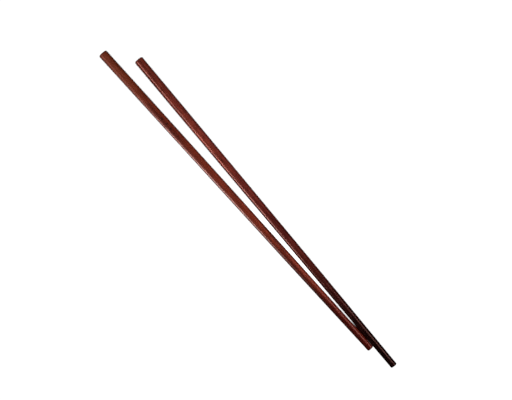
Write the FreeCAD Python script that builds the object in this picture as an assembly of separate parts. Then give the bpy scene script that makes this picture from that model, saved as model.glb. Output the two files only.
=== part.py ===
import FreeCAD, Part
import math
import os

# A pair of slender wooden chopsticks, lying side by side on a table with their tips together. Each one is a
# single piece of hardwood. Its grip is square with soft corners and the same width all along. In the middle
# taper the corners grow rounder and the flats narrow to points, and the tip taper is round.
# Sizes are in millimetres. +X runs from the butts to the tips, +Y from the left stick to the right one and
# +Z up, so left and right are as seen from above with the butts at the top. The origin is on the table,
# under the middle of the pair.

# One chopstick, measured along its own axis from the butt
stick_length = 270.0
grip_width = 6.2
grip_length = 40.0
corner_radius = 2.2
round_from = 190.0
round_diameter = 5.5
tip_diameter = 4.5

# Its two ends, each a shallow dome with a rounded rim
butt_dome_height = 0.3
butt_rim_radius = 1.0
tip_dome_height = 0.25
tip_rim_radius = 0.6

# How the pair lies
spread_angle = 2.37
right_stick_lead = 19.1
tip_clearance = 0.05

# The middle taper's bottom flat is what lies on the table, so a stick leans by that flat's slope
middle_taper_length = round_from - grip_length
middle_taper_drop = (grip_width - round_diameter) / 2
lean_angle = math.degrees(math.atan(middle_taper_drop / middle_taper_length))

ALONG = FreeCAD.Vector(1, 0, 0)
ASIDE = FreeCAD.Vector(0, 1, 0)
UP = FreeCAD.Vector(0, 0, 1)
CORNERS = range(4)


def around(along, distance, angle):
    """A point so far along the stick, and so far from its axis in the direction of that angle."""
    turn = math.radians(angle)
    return FreeCAD.Vector(along, distance * math.cos(turn), distance * math.sin(turn))


def corner_arc(along, width, radius, corner):
    """The quarter circle at one corner of a square section with rounded corners."""
    start = 90 * corner
    centre = around(along, (width / 2 - radius) * math.sqrt(2), start + 45)
    points = [centre + around(0, radius, start + turn) for turn in (0, 45, 90)]
    return Part.Arc(*points).toShape()


def section(along, width, radius):
    """The four corner arcs of a section, in order. They meet in a full circle if the radius is half the width."""
    return [corner_arc(along, width, radius, corner) for corner in CORNERS]


def outline(arcs):
    """The closed wire of a section: its corner arcs, and the flats between them."""
    ends = [(a.lastVertex().Point, b.firstVertex().Point) for a, b in zip(arcs, arcs[1:] + arcs[:1])]
    flats = [Part.makeLine(start, end) for start, end in ends if not start.isEqual(end, 1e-6)]
    return Part.Wire(Part.__sortEdges__(arcs + flats))


def grip():
    """The parallel square stretch that the hand holds."""
    start = Part.Face(outline(section(0, grip_width, corner_radius)))
    return start.extrude(ALONG * grip_length)


def middle_taper():
    """The stretch where the square section turns round, between four flats that narrow to points."""
    square = section(grip_length, grip_width, corner_radius)
    circle = section(round_from, round_diameter, round_diameter / 2)
    faces = [Part.Face(outline(square)), Part.Face(outline(circle))]
    for corner in CORNERS:
        here, following = square[corner], square[(corner + 1) % len(square)]
        point = circle[corner].lastVertex().Point
        flat = [here.lastVertex().Point, following.firstVertex().Point, point]
        faces.append(Part.makeRuledSurface(here, circle[corner]))
        faces.append(Part.Face(Part.makePolygon(flat + flat[:1])))
    return Part.makeSolid(Part.makeShell(faces))


def tip_taper():
    """The round stretch down to the tip."""
    length = stick_length - round_from
    return Part.makeCone(round_diameter / 2, tip_diameter / 2, length, around(round_from, 0, 0), ALONG)


def dome(apex, towards, height, reach, width):
    """An arc from the axis outwards. Its ball stands that high over a circle of radius reach."""
    ball = (reach**2 + height**2) / (2 * height)
    points = []
    for out in (0, width / 2, width):
        sunk = ball - math.sqrt(ball**2 - out**2)
        points.append(FreeCAD.Vector(apex + towards * sunk, 0, out))
    return Part.Arc(*points).toShape()


def between_domes():
    """A wide round blank with the two domed ends, which the stick is trimmed to."""
    butt = dome(0, 1, butt_dome_height, grip_width / 2, grip_width)
    tip = dome(stick_length, -1, tip_dome_height, tip_diameter / 2, tip_diameter)
    side = Part.makeLine(butt.lastVertex().Point, tip.lastVertex().Point)
    axis = Part.makeLine(tip.firstVertex().Point, butt.firstVertex().Point)
    profile = Part.Face(Part.Wire(Part.__sortEdges__([butt, side, tip, axis])))
    return profile.revolve(FreeCAD.Vector(), ALONG, 360)


def rim_edges(end_face):
    """The edges around a domed end, without the dome's own seam."""
    return [e for e in end_face.Edges if not e.Degenerated and not e.isSeam(end_face)]


def chopstick():
    """One finished chopstick, along +X from the middle of its butt."""
    stick = grip().fuse([middle_taper(), tip_taper()]).removeSplitter()
    stick = stick.common(between_domes())
    butt_face = min(stick.Faces, key=lambda face: face.CenterOfMass.x)
    stick = stick.makeFillet(butt_rim_radius, rim_edges(butt_face))
    tip_face = max(stick.Faces, key=lambda face: face.CenterOfMass.x)
    return stick.makeFillet(tip_rim_radius, rim_edges(tip_face)).Solids[0]


def lying(butt, heading):
    """The placement of a stick on the table, its butt over that point and its tip turned from +X towards +Y."""
    lean = math.radians(lean_angle)
    height = grip_width / 2 * math.cos(lean) + grip_length * math.sin(lean)
    turn = FreeCAD.Rotation(UP, heading).multiply(FreeCAD.Rotation(ASIDE, lean_angle))
    return FreeCAD.Placement(FreeCAD.Vector(butt.x, butt.y, height), turn)


def placed(stick, butt, heading):
    """A copy of the stick, lying there."""
    copy = stick.copy()
    copy.Placement = lying(butt, heading)
    return copy


def pair():
    """Both sticks by node name. The left tip lies beside the right stick with only the tip clearance between."""
    stick = chopstick()
    left = placed(stick, FreeCAD.Vector(), spread_angle / 2)
    right = placed(stick, FreeCAD.Vector(right_stick_lead, stick_length, 0), -spread_angle / 2)
    # The first move brings the right stick close, and the second takes up what its slant left over
    for _ in range(2):
        right.translate(ASIDE * (tip_clearance - left.distToShape(right)[0]))
    return {"left_chopstick": left, "right_chopstick": right}


def centred(sticks):
    """The pair moved over the table until the middle of its footprint is the origin."""
    box = Part.makeCompound(list(sticks.values())).optimalBoundingBox(False, False)
    for stick in sticks.values():
        stick.translate(FreeCAD.Vector(-box.Center.x, -box.Center.y, 0))
    return sticks


def main():
    os.makedirs("parts", exist_ok=True)
    for name, stick in centred(pair()).items():
        stick.exportStep(f"parts/{name}.step")
        print(f"{name}: {stick.Volume:.1f} cubic mm, valid {stick.isValid()}")


main()
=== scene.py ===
import bpy
import math
from mathutils import Matrix, Vector


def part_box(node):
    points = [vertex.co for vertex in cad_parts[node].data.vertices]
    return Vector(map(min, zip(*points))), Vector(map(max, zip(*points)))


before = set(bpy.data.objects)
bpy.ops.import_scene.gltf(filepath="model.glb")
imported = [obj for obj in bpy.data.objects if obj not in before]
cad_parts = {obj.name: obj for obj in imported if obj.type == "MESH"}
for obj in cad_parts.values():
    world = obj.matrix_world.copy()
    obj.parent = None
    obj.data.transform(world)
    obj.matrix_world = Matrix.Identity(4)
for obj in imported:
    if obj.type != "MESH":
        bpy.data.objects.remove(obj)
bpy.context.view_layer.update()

MM = 0.001

# One chopstick, in millimetres along its own axis from the butt
STICK_LENGTH = 270.0
GRIP_WIDTH = 6.2
GRIP_LENGTH = 40.0
CORNER_RADIUS = 2.2
ROUND_FROM = 190.0
ROUND_DIAMETER = 5.5
TAPER_LENGTH = ROUND_FROM - GRIP_LENGTH

# Half the breadth of the grip's flats, which the middle taper narrows to nothing
FLAT_REACH = GRIP_WIDTH / 2 - CORNER_RADIUS

# How the sticks lie: each heading is turned from +X by half the spread, and the taper's bottom flat is level
HALF_SPREAD = math.radians(2.37 / 2)
LEAN = math.atan((GRIP_WIDTH - ROUND_DIAMETER) / 2 / TAPER_LENGTH)

# The two woods. Colours are linear, lengths are in millimetres on the stick's own axes, tilts in degrees.
# "tip_stretch" is where along the stick the tip's tone begins and is full, and "tip_shade_slant" how much
# sooner or later that is for each millimetre aside; on the left stick this paints shade on the tip's -Y side.
# "figure" is one soft patch: its middle, half sizes and strength.
# "flecks" are short marks on top of the stick: where along and aside, half length, half breadth and tilt.
# "slant" is how far the grain runs aside in each millimetre, "mottle" how strongly the mottle shows, "shift"
# how many cells the grain is moved by, and "roughness" that of the grip and that of the tip.
LEFT_WOOD = {
    "butt": (0.138, 0.0240, 0.0092, 1.0),
    "heart": (0.160, 0.0215, 0.0098, 1.0),
    "ruddy": (0.130, 0.0165, 0.0075, 1.0),
    "vein": (0.052, 0.0050, 0.0024, 1.0),
    "tip": (0.054, 0.0043, 0.0023, 1.0),
    "tip_stretch": (170.0, 255.0),
    "tip_shade_slant": -14.0,
    "figure": ((66.0, -0.3, 3.0), (26.0, 2.4, 2.4), 0.60),
    "figure_tone": (0.050, 0.0055, 0.0028, 1.0),
    "flecks": (
        (60.2, 0.0, 1.0, 1.40, 75), (64.9, 0.1, 1.3, 1.10, 75), (69.1, 0.0, 1.7, 1.05, 72),
        (73.0, -0.9, 0.9, 0.80, 75), (76.2, -0.1, 0.9, 0.70, 80), (170.3, -0.95, 0.9, 0.75, 70)),
    "fleck_tone": (0.010, 0.0010, 0.0008, 1.0),
    "slant": 0.022,
    "mottle": 1.0,
    "shift": (3.3, 6.1, 8.5),
    "roughness": (0.38, 0.28),
}
RIGHT_WOOD = {
    "butt": (0.132, 0.0195, 0.0118, 1.0),
    "heart": (0.150, 0.0210, 0.0145, 1.0),
    "ruddy": (0.122, 0.0160, 0.0120, 1.0),
    "vein": (0.050, 0.0052, 0.0044, 1.0),
    "tip": (0.0044, 0.0004, 0.0004, 1.0),
    "tip_stretch": (86.0, 252.0),
    "tip_shade_slant": 0.0,
    "figure": ((71.0, -0.8, 2.8), (44.0, 2.8, 3.0), 0.85),
    "figure_tone": (0.200, 0.0290, 0.0165, 1.0),
    "flecks": ((211.2, -0.3, 0.9, 0.28, 65), (224.8, -0.8, 0.8, 0.28, 70)),
    "fleck_tone": (0.085, 0.0190, 0.0150, 1.0),
    "slant": -0.015,
    "mottle": 1.5,
    "shift": (4.9, 11.3, 9.5),
    "roughness": (0.27, 0.25),
}

# The grain of both woods. A cell is the length, breadth and height of one blob of noise, in millimetres. An
# edge is the two values of the noise at which it begins to show and shows in full.
SWAY_CELL = (70.0, 9.0, 9.0)
DRIFT_CELL, DRIFT_EDGE = (60.0, 5.0, 5.0), (0.4, 0.6)
VEIN_CELL, VEIN_EDGE = (34.0, 1.7, 1.7), (0.50, 0.66)
MOTTLE_CELL = (4.5, 1.2, 1.2)
FIBRE_CELL = (7.0, 0.22, 0.22)
PORE_CELL, PORE_EDGE = (1.9, 0.30, 0.30), (0.32, 0.14)
PORE_TONE = (0.012, 0.0022, 0.0018, 1.0)

# How far the sway moves the grain aside and up, and the ends of the tones along the stick, in millimetres.
# Upwards the grain slants by this part of its slant aside.
SWAY_ASIDE, SWAY_UP, SWAY_TONES = 1.6, 1.1, 40.0
SLANT_UP = 0.6

# Where these begin and where they show in full, in millimetres: the butt's tone along the stick, the lighter
# corners, partly edge wear and partly a painted highlight, out from its axis and by half the breadth of its
# flats, and the end grain in from the end faces
BUTT_TONE_STRETCH = (75.0, 15.0)
CORNER_FROM_AXIS, CORNER_BY_FLAT = (1.2, 2.3), (0.0, 0.6)
END_GRAIN_BEGINS, END_GRAIN_FULL = 0.9, 0.1

# The height of the flecks' middles over the stick's axis and half their depth into the wood, in millimetres
FLECK_HEIGHT, FLECK_HALF_DEPTH = 2.9, 1.0

# How strongly each shows in the tones, in light and dark, in the relief and in the roughness
VEIN_TONE_SHARE, PORE_TONE_SHARE = 0.7, 0.5
FIGURE_MOTTLE = 1.4
FLECK_FIBRES, FLECK_MOTTLE, FLECK_STRENGTH = 2.0, 1.2, 0.6
# The corners' lightening is partly edge wear and partly a painted highlight
FIBRE_LIGHT, CORNER_WEAR_AND_HIGHLIGHT, END_GRAIN_SHADE = 0.9, 0.12, 0.35
FIBRE_RELIEF, MOTTLE_RELIEF, PORE_RELIEF = 0.3, 0.25, 0.6
RELIEF_HEIGHT = 0.010 * MM
MOTTLE_ROUGHNESS, PORE_ROUGHNESS = 0.12, 0.15
OIL_GLOSS = 0.5
OIL_TINT = (1.0, 0.45, 0.38, 1.0)

# The floor, in metres. Its glow is faint near the sticks and full further off. The gap between the sticks
# glows too, as painted light, but its last stretch, where the tips all but touch, is painted deep shade.
FLOOR_SIZE = 6
FLOOR_TONE, FLOOR_ROUGHNESS = (0.9, 0.9, 0.9, 1), 0.9
FAINT_GLOW, FULL_GLOW = (0.1, 0.1, 0.1, 1), (0.9, 0.9, 0.9, 1)
GLOW_STRETCH = (0.2, 0.7)
PAINTED_GAP_LIGHT, PAINTED_GAP_LIGHT_HALF_SIZES = (0.038, 0.0, 0.0), (0.050, 0.0065, 1.0)
PAINTED_GAP_LIGHT_GLOW = 0.45
PAINTED_GAP_SHADE, PAINTED_GAP_SHADE_HALF_SIZES = (0.1135, 0.0001, 0.0), (0.0125, 0.0022, 1.0)
PAINTED_GAP_SHADE_TONE = (0.006, 0.001, 0.001, 1)

# The softboxes, in metres: name, start, end, breadth, radiance and the lit set that each falls on
LIGHTING_SOFTBOXES = (
    ("over_floor", (-0.22, 0.0, 1.5), (0.22, 0.0, 1.5), 0.5, 37.0, "floor"),
    ("over_butts", (-0.75, -0.30, 0.8), (-0.10, -0.30, 0.8), 0.5, 8.0, "sticks"),
    ("over_tips", (0.12, 0.20, 0.15), (0.26, 0.20, 0.15), 0.12, 14.5, "sticks"),
)
SHEEN_SOFTBOXES = (
    ("far_side_sheen", (-0.12, 0.175, 0.243), (0.04, 0.200, 0.224), 0.063, 1.3, "sticks"),
    ("tips_sheen", (0.125, 0.205, 0.219), (0.22, 0.193, 0.230), 0.063, 6.5, "sticks"),
    ("left_tip_sheen", (0.04, 0.240, 0.180), (0.20, 0.193, 0.230), 0.063, 4.2, "left"),
    ("left_butt_sheen", (-0.21, -0.094, 0.302), (-0.11, -0.260, 0.150), 0.075, 4.4, "left"),
    ("left_side_sheen", (-0.104, -0.2862, 0.0761), (0.06, -0.2945, 0.057), 0.063, 7.9, "left"),
    ("left_edge_sheen", (-0.10, -0.20, 0.0105), (0.032, -0.20, 0.0105), 0.0133, 100.0, "left"),
    ("right_butt_sheen", (-0.20, -0.152, 0.258), (-0.07, -0.215, 0.208), 0.120, 9.8, "right"),
    ("right_side_sheen", (-0.07, -0.248, 0.168), (0.05, -0.280, 0.108), 0.080, 17.0, "right"),
)

# The camera looks straight down, turned so that the sticks run from upper left to lower right
IMAGE_WIDTH = 512
PIXEL = 0.6757 * MM
CAMERA_TURN = math.radians(48.945)
CAMERA_OVER = Vector((-1.5, 5.4, 3.0)) * MM
LENS, SENSOR = 100.0, 36.0
CLIP_START, CLIP_END = 0.01, 10

# The middle part of a soft spot that shows in full
SPOT_CORE = 0.4


class Socket:
    """A node's output. Shader maths is written as an expression on it."""

    def __init__(self, shader, output):
        self.shader = shader
        self.output = output

    def maths(self, operation, *values):
        return self.shader.node("ShaderNodeMath", {"operation": operation}, values)

    def __add__(self, other):
        return self.maths("ADD", self, other)

    def __sub__(self, other):
        return self.maths("SUBTRACT", self, other)

    def __rsub__(self, other):
        return self.maths("SUBTRACT", other, self)

    def __mul__(self, other):
        return self.maths("MULTIPLY", self, other)

    def __abs__(self):
        return self.maths("ABSOLUTE", self)

    __radd__ = __add__
    __rmul__ = __mul__

    def least(self, other):
        return self.maths("MINIMUM", self, other)

    def most(self, other):
        return self.maths("MAXIMUM", self, other)

    def share(self):
        """The same, kept from 0 to 1."""
        return self.most(0.0).least(1.0)

    def rise(self, low, high):
        """0 up to low, 1 from high on, and a smooth step between. It falls if high is the lower one."""
        limits = {"Value": self, "From Min": low, "From Max": high}
        return self.shader.node("ShaderNodeMapRange", {"interpolation_type": "SMOOTHSTEP"}, limits)


class Shader:
    """One material, built node by node."""

    def __init__(self, name):
        self.material = bpy.data.materials.new(name)
        self.material.use_nodes = True
        self.tree = self.material.node_tree
        self.tree.nodes.clear()

    def node(self, kind, settings, inputs, output=0):
        """A new node of that type, its settings made first and its sockets given values or links."""
        made = self.tree.nodes.new(kind)
        for key, value in settings.items():
            setattr(made, key, value)
        for key, value in inputs.items() if isinstance(inputs, dict) else enumerate(inputs):
            if isinstance(value, Socket):
                self.tree.links.new(value.output, made.inputs[key])
            else:
                made.inputs[key].default_value = value
        return Socket(self, made.outputs[output])

    def place(self):
        return self.node("ShaderNodeTexCoord", {}, {}, output="Object")

    def local(self, place, origin, turn, scale):
        """The place on axes that are moved to the origin, turned and scaled."""
        return self.node("ShaderNodeMapping", {"vector_type": "TEXTURE"}, {
            "Vector": place, "Location": origin, "Rotation": turn, "Scale": scale})

    def distance(self, place):
        return self.node("ShaderNodeVectorMath", {"operation": "LENGTH"}, [place], output="Value")

    def mix(self, share, first, second, blend="MIX"):
        """The first colour, or that share of the second over it."""
        settings = {"data_type": "RGBA", "blend_type": blend}
        return self.node("ShaderNodeMix", settings, {0: share, 6: first, 7: second}, output=2)

    def cells(self, place, size, shift):
        """The place, measured in cells of that size and moved by so many cells."""
        per_cell = [1 / side for side in size]
        return self.node("ShaderNodeVectorMath", {"operation": "MULTIPLY_ADD"}, [place, per_cell, shift])

    def cloud(self, place, size, shift, detail=2.0):
        """Noise from 0 to 1 in cells of that size."""
        cells = self.cells(place, size, shift)
        return self.node("ShaderNodeTexNoise", {}, {"Vector": cells, "Scale": 1.0, "Detail": detail})

    def ripple(self, place, size, shift, detail=2.0):
        """Noise from -0.5 to 0.5 in cells of that size."""
        return self.cloud(place, size, shift, detail) - 0.5

    def grains(self, place, size, shift):
        """The distance from the nearest of many scattered points, in cells of that size."""
        cells = self.cells(place, size, shift)
        return self.node("ShaderNodeTexVoronoi", {}, {"Vector": cells, "Scale": 1.0})

    def spot(self, place, middle, half_sizes, tilt=0.0):
        """1 around the middle, and softly down to 0 at an ellipsoid of those half sizes, tilted in plan."""
        near = self.local(place, middle, (0.0, 0.0, math.radians(tilt)), half_sizes)
        return self.distance(near).rise(1.0, SPOT_CORE)

    def finish(self, surface):
        """The material, given its surface."""
        bsdf = self.node("ShaderNodeBsdfPrincipled", {}, surface)
        output = self.tree.nodes.new("ShaderNodeOutputMaterial")
        self.tree.links.new(bsdf.output, output.inputs["Surface"])
        return self.material


def axes_of(shader, place):
    """How far the place is along the stick, aside and up."""
    split = shader.node("ShaderNodeSeparateXYZ", {}, [place])
    return [Socket(shader, output) for output in split.output.node.outputs]


def fleck_marks(shader, place, wood):
    """The wood's short marks across the grain, all together."""
    marks = [shader.spot(place, (along, aside, FLECK_HEIGHT), (length, breadth, FLECK_HALF_DEPTH), tilt)
             for along, aside, length, breadth, tilt in wood["flecks"]]
    together = marks[0]
    for mark in marks[1:]:
        together = together.most(mark)
    return together


def worn_and_highlit_corners(along, aside, up):
    """1 on the four corners as far as the stick has flats between them."""
    flat = (ROUND_FROM - along) * (FLAT_REACH / TAPER_LENGTH)
    return abs(aside).least(abs(up)).rise(*CORNER_FROM_AXIS) * flat.rise(*CORNER_BY_FLAT)


def end_grain(along):
    """1 on both end faces, and fading over their rims."""
    half = STICK_LENGTH / 2
    return abs(along - half).rise(half - END_GRAIN_BEGINS, half - END_GRAIN_FULL)


def chopstick_wood(name, wood, butt, heading):
    """Oiled red-brown hardwood whose grain runs out along the stick, darker towards the tip."""
    shader = Shader(name)
    place = shader.local(shader.place(), butt, (0.0, LEAN, heading), (MM, MM, MM))
    along, aside, up = axes_of(shader, place)
    shift, slant = wood["shift"], wood["slant"]

    # The grain runs at a slight slant, and wanders
    sway = shader.ripple(place, SWAY_CELL, shift)
    grain = shader.node("ShaderNodeCombineXYZ", {}, [
        along, aside + along * slant + sway * SWAY_ASIDE, up - along * slant * SLANT_UP + sway * SWAY_UP])

    # Drifts of ruddier wood, veins of dark wood, mottle, the fibres, and pores as short dark dashes
    drift = shader.cloud(grain, DRIFT_CELL, shift).rise(*DRIFT_EDGE)
    veins = shader.cloud(grain, VEIN_CELL, shift, detail=3.0).rise(*VEIN_EDGE)
    mottle = shader.ripple(grain, MOTTLE_CELL, shift, detail=3.0)
    fibres = shader.ripple(grain, FIBRE_CELL, shift)
    pores = shader.grains(grain, PORE_CELL, shift).rise(*PORE_EDGE)

    # Their tones, one over the other
    wander = sway * SWAY_TONES
    colour = shader.mix(drift, wood["heart"], wood["ruddy"])
    colour = shader.mix((along + wander).rise(*BUTT_TONE_STRETCH), colour, wood["butt"])
    middle, half_sizes, strength = wood["figure"]
    figure = shader.spot(place, middle, half_sizes) * (mottle * FIGURE_MOTTLE + strength)
    colour = shader.mix(figure.share(), colour, wood["figure_tone"])
    colour = shader.mix(veins * VEIN_TONE_SHARE, colour, wood["vein"])
    # On the left stick the tip's dark tone starts sooner on the -Y side: painted shade on that side of the
    # tip
    tip = (along + aside * wood["tip_shade_slant"] + wander).rise(*wood["tip_stretch"])
    colour = shader.mix(tip, colour, wood["tip"])
    strength = fibres * FLECK_FIBRES + mottle * FLECK_MOTTLE + FLECK_STRENGTH
    flecks = fleck_marks(shader, place, wood) * strength
    colour = shader.mix(flecks.share(), colour, wood["fleck_tone"])
    colour = shader.mix(pores * PORE_TONE_SHARE, colour, PORE_TONE)

    # Light and dark of the fibres and the mottle. The corners are lighter, partly as edge wear and partly as
    # a painted highlight, and the end grain is darker
    light = fibres * FIBRE_LIGHT + mottle * wood["mottle"]
    light = light + worn_and_highlit_corners(along, aside, up) * CORNER_WEAR_AND_HIGHLIGHT - end_grain(along) * END_GRAIN_SHADE + 1.0
    tint = shader.node("ShaderNodeCombineColor", {}, [light, light, light])
    colour = shader.mix(1.0, colour, tint, blend="MULTIPLY")

    relief = fibres * FIBRE_RELIEF + mottle * MOTTLE_RELIEF - pores * PORE_RELIEF
    bump = shader.node("ShaderNodeBump", {}, {"Strength": 1.0, "Distance": RELIEF_HEIGHT, "Height": relief})
    polished, tip_polish = wood["roughness"]
    roughness = tip * (tip_polish - polished) + polished
    roughness = roughness + mottle * MOTTLE_ROUGHNESS + pores * PORE_ROUGHNESS
    return shader.finish({
        "Base Color": colour, "Roughness": roughness, "Normal": bump,
        "Specular IOR Level": OIL_GLOSS, "Specular Tint": OIL_TINT})


def butt_middle(node, side):
    """The middle of a stick's butt, from its node's box. The butt is at the box's outer side."""
    low, high = (Vector(corner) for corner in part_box(node))
    outer = low.y if side < 0 else high.y
    half = GRIP_WIDTH / 2 * MM
    return Vector((low.x, outer - side * half, high.z - half))


def dress_sticks():
    """Each stick's wood. The left one is on the -Y side."""
    for name, side, wood in (("left", -1, LEFT_WOOD), ("right", 1, RIGHT_WOOD)):
        node = f"{name}_chopstick"
        material = chopstick_wood(f"{name}_wood", wood, butt_middle(node, side), -side * HALF_SPREAD)
        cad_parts[node].material_slots[0].material = material


def floor():
    """A pale floor that the sticks don't mirror."""
    bpy.ops.mesh.primitive_plane_add(size=FLOOR_SIZE)
    made = bpy.context.object
    made.name = "floor"
    made.visible_diffuse = False
    made.visible_glossy = False
    shader = Shader("floor_white")
    place = shader.place()
    # Painted light: a glow on the floor in the gap between the sticks
    painted_gap_light = shader.spot(place, PAINTED_GAP_LIGHT, PAINTED_GAP_LIGHT_HALF_SIZES) * PAINTED_GAP_LIGHT_GLOW
    glow = shader.distance(place).rise(*GLOW_STRETCH).most(painted_gap_light)
    # Painted shade: a dark patch on the floor where the tips all but touch
    painted_gap_shade = shader.spot(place, PAINTED_GAP_SHADE, PAINTED_GAP_SHADE_HALF_SIZES)
    made.data.materials.append(shader.finish({
        "Base Color": shader.mix(painted_gap_shade, FLOOR_TONE, PAINTED_GAP_SHADE_TONE),
        "Emission Color": shader.mix(painted_gap_shade, shader.mix(glow, FAINT_GLOW, FULL_GLOW), PAINTED_GAP_SHADE_TONE),
        "Emission Strength": 1.0, "Roughness": FLOOR_ROUGHNESS, "Specular IOR Level": 0.0}))
    return made


def lit_sets(made_floor):
    """The sets that softboxes fall on: the floor, both sticks, or one of them."""
    left, right = (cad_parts[node] for node in ("left_chopstick", "right_chopstick"))
    for name, piece, state in (("floor", made_floor, "INCLUDE"), ("sticks", made_floor, "EXCLUDE"),
                               ("left", left, "INCLUDE"), ("right", right, "INCLUDE")):
        lit = bpy.data.collections.new(name)
        lit.objects.link(piece)
        lit.collection_objects[0].light_linking.link_state = state


def softbox(name, start, end, breadth, radiance, falls_on, sheen):
    """A soft rectangular light from start to end that faces the line along the sticks' middle.

    A sheen one only shows in the polish, and the others only light the wood and the floor.
    """
    start, end = Vector(start), Vector(end)
    middle = (start + end) / 2
    along = (end - start).normalized()
    out = Vector((0.0, middle.y, middle.z))
    out = (out - along * out.dot(along)).normalized()
    data = bpy.data.lights.new(name, "AREA")
    data.shape = "RECTANGLE"
    data.size, data.size_y = (end - start).length, breadth
    data.energy = radiance * math.pi * data.size * data.size_y
    made = bpy.data.objects.new(name, data)
    turn = Matrix((along, out.cross(along), out)).transposed()
    made.matrix_world = Matrix.Translation(middle) @ turn.to_4x4()
    made.visible_camera = False
    made.visible_glossy = sheen
    made.visible_diffuse = not sheen
    made.light_linking.receiver_collection = bpy.data.collections[falls_on]
    bpy.context.scene.collection.objects.link(made)


def studio():
    """White surroundings that only the camera sees, and the softboxes."""
    world = bpy.data.worlds.new("studio")
    bpy.context.scene.world = world
    world.use_nodes = True
    world.node_tree.nodes["Background"].inputs["Color"].default_value = (1, 1, 1, 1)
    world.cycles_visibility.diffuse = False
    world.cycles_visibility.glossy = False
    bpy.context.scene.view_settings.view_transform = "Standard"
    for row in LIGHTING_SOFTBOXES:
        softbox(*row, sheen=False)
    for row in SHEEN_SOFTBOXES:
        softbox(*row, sheen=True)


def camera():
    data = bpy.data.cameras.new("camera")
    data.lens, data.sensor_width = LENS, SENSOR
    data.clip_start, data.clip_end = CLIP_START, CLIP_END
    distance = IMAGE_WIDTH * PIXEL * LENS / SENSOR
    made = bpy.data.objects.new("camera", data)
    made.location = CAMERA_OVER + Vector((0, 0, distance))
    made.rotation_euler = (0, 0, CAMERA_TURN)
    bpy.context.scene.collection.objects.link(made)
    bpy.context.scene.camera = made


dress_sticks()
lit_sets(floor())
studio()
camera()
